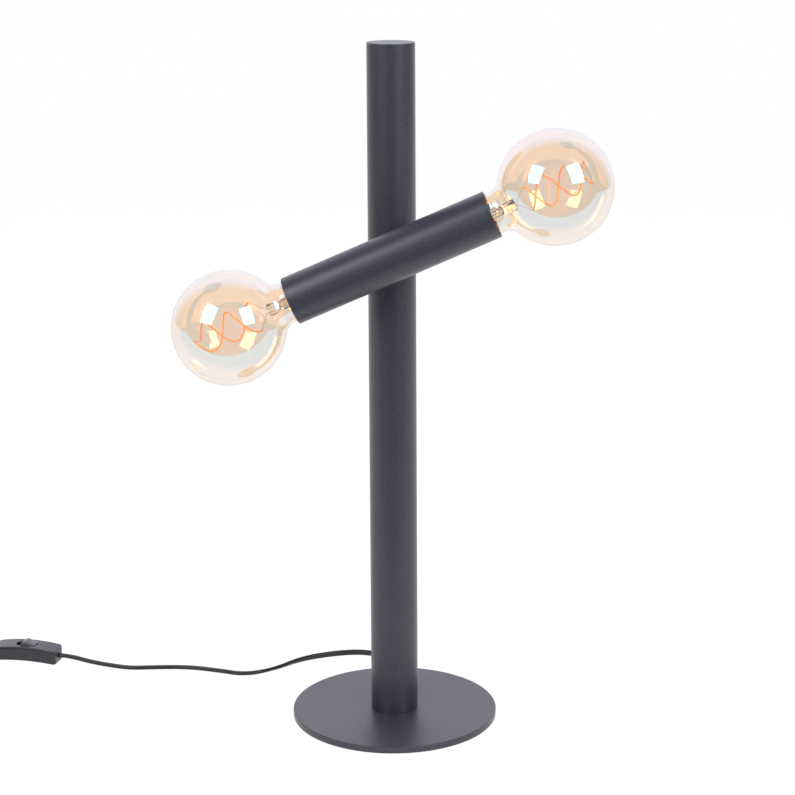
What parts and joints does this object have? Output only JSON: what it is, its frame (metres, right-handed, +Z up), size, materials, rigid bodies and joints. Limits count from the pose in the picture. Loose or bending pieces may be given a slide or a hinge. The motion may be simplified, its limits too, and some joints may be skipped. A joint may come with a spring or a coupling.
{
  "type": "table lamp",
  "caption": "Table lamp with a straight tubular pole on a round plate base, a matching tube that tilts across it with a globe bulb at each end, and a flat cord with an in-line rocker switch.",
  "frame": {"origin": "centre of the round base's underside, on the table", "axes": "+Z up along the pole, +X to the right and -Y towards the viewer; the tilting arm crosses on the -Y side, its raised end towards +X, and the cord leaves at the back (+Y)"},
  "size_m": [0.7, 0.2447, 0.58],
  "materials": {
    "powder_coat": "fine matt anthracite powder coat",
    "plain_steel": "zinc-plated steel",
    "spring_steel": "blued spring steel",
    "foot_pad": "closed-cell foam",
    "bushing_plastic": "black nylon",
    "washer_plastic": "natural nylon",
    "cord_sheath": "soft dark grey PVC",
    "switch_plastic": "matt dark grey plastic",
    "contact_brass": "bare brass strip",
    "plug_plastic": "soft dark grey PVC",
    "pin_brass": "nickel-plated brass",
    "holder_black": "moulded phenolic",
    "holder_ceramic": "glazed ceramic",
    "shell_nickel": "nickel-plated brass sheet",
    "bulb_tube_glass": "smooth blown glass with a faint amber tint",
    "stem_glass": "clear lamp glass",
    "cap_metal": "rolled nickel-plated sheet",
    "cap_insulator": "black glass",
    "lead_metal": "bare lead wire",
    "filament_phosphor": "soft orange phosphor coating",
    "wire_sheath": "silicone sheath"
  },
  "bodies": {
    "stand": {"base_pad": "foot_pad", "base_plate": "powder_coat", "base_screws": "plain_steel", "pole_foot": "plain_steel", "pole_tube": "powder_coat", "pole_cap": "powder_coat", "cord_bushing": "bushing_plastic", "pole_cord": "cord_sheath", "cord_lead": "cord_sheath", "cord_tail": "cord_sheath", "cord_coil": "cord_sheath", "cord_end": "cord_sheath", "pivot_nipple": "plain_steel", "pole_saddle": "powder_coat", "pole_inner_saddle": "plain_steel", "pole_nut": "plain_steel", "friction_washer": "washer_plastic", "disc_spring": "spring_steel", "arm_nut": "plain_steel", "switch_lid": "switch_plastic", "switch_tray": "switch_plastic", "switch_contacts": "contact_brass", "switch_screws": "plain_steel", "plug_body": "plug_plastic", "plug_pins": "pin_brass"},
    "arm": {"arm_tube": "powder_coat", "arm_saddle": "powder_coat", "stop_pin": "plain_steel", "arm_inner_saddle": "plain_steel", "holder_nipples": "plain_steel", "holder_nuts": "plain_steel", "bulb_tips": "cap_metal", "left_bulkhead": "plain_steel", "left_holder_dome": "holder_black", "left_holder_core": "holder_ceramic", "left_holder_shell": "shell_nickel", "left_holder_skirt": "holder_black", "left_holder_contact": "contact_brass", "left_wires": "wire_sheath", "left_bulb_glass": "bulb_tube_glass", "left_bulb_cap": "cap_metal", "left_bulb_insulator": "cap_insulator", "left_bulb_stem": "stem_glass", "left_bulb_filament": "filament_phosphor", "left_bulb_leads": "lead_metal", "right_bulkhead": "plain_steel", "right_holder_dome": "holder_black", "right_holder_core": "holder_ceramic", "right_holder_shell": "shell_nickel", "right_holder_skirt": "holder_black", "right_holder_contact": "contact_brass", "right_wires": "wire_sheath", "right_bulb_glass": "bulb_tube_glass", "right_bulb_cap": "cap_metal", "right_bulb_insulator": "cap_insulator", "right_bulb_stem": "stem_glass", "right_bulb_filament": "filament_phosphor", "right_bulb_leads": "lead_metal"},
    "rocker": {"switch_rocker": "switch_plastic"}
  },
  "joints": [
    {"name": "arm_tilt", "type": "hinge", "parent": "stand", "child": "arm", "pos_m": [0, 0, 0.4095], "axis": [0, -1, 0], "range_deg": [-88.5, 41.5]},
    {"name": "switch_rock", "type": "hinge", "parent": "stand", "child": "rocker", "pos_m": [-0.3418, 0.1238, 0.0104], "axis": [0.2096, 0.9778, 0], "range_deg": [0, 28]}
  ]
}
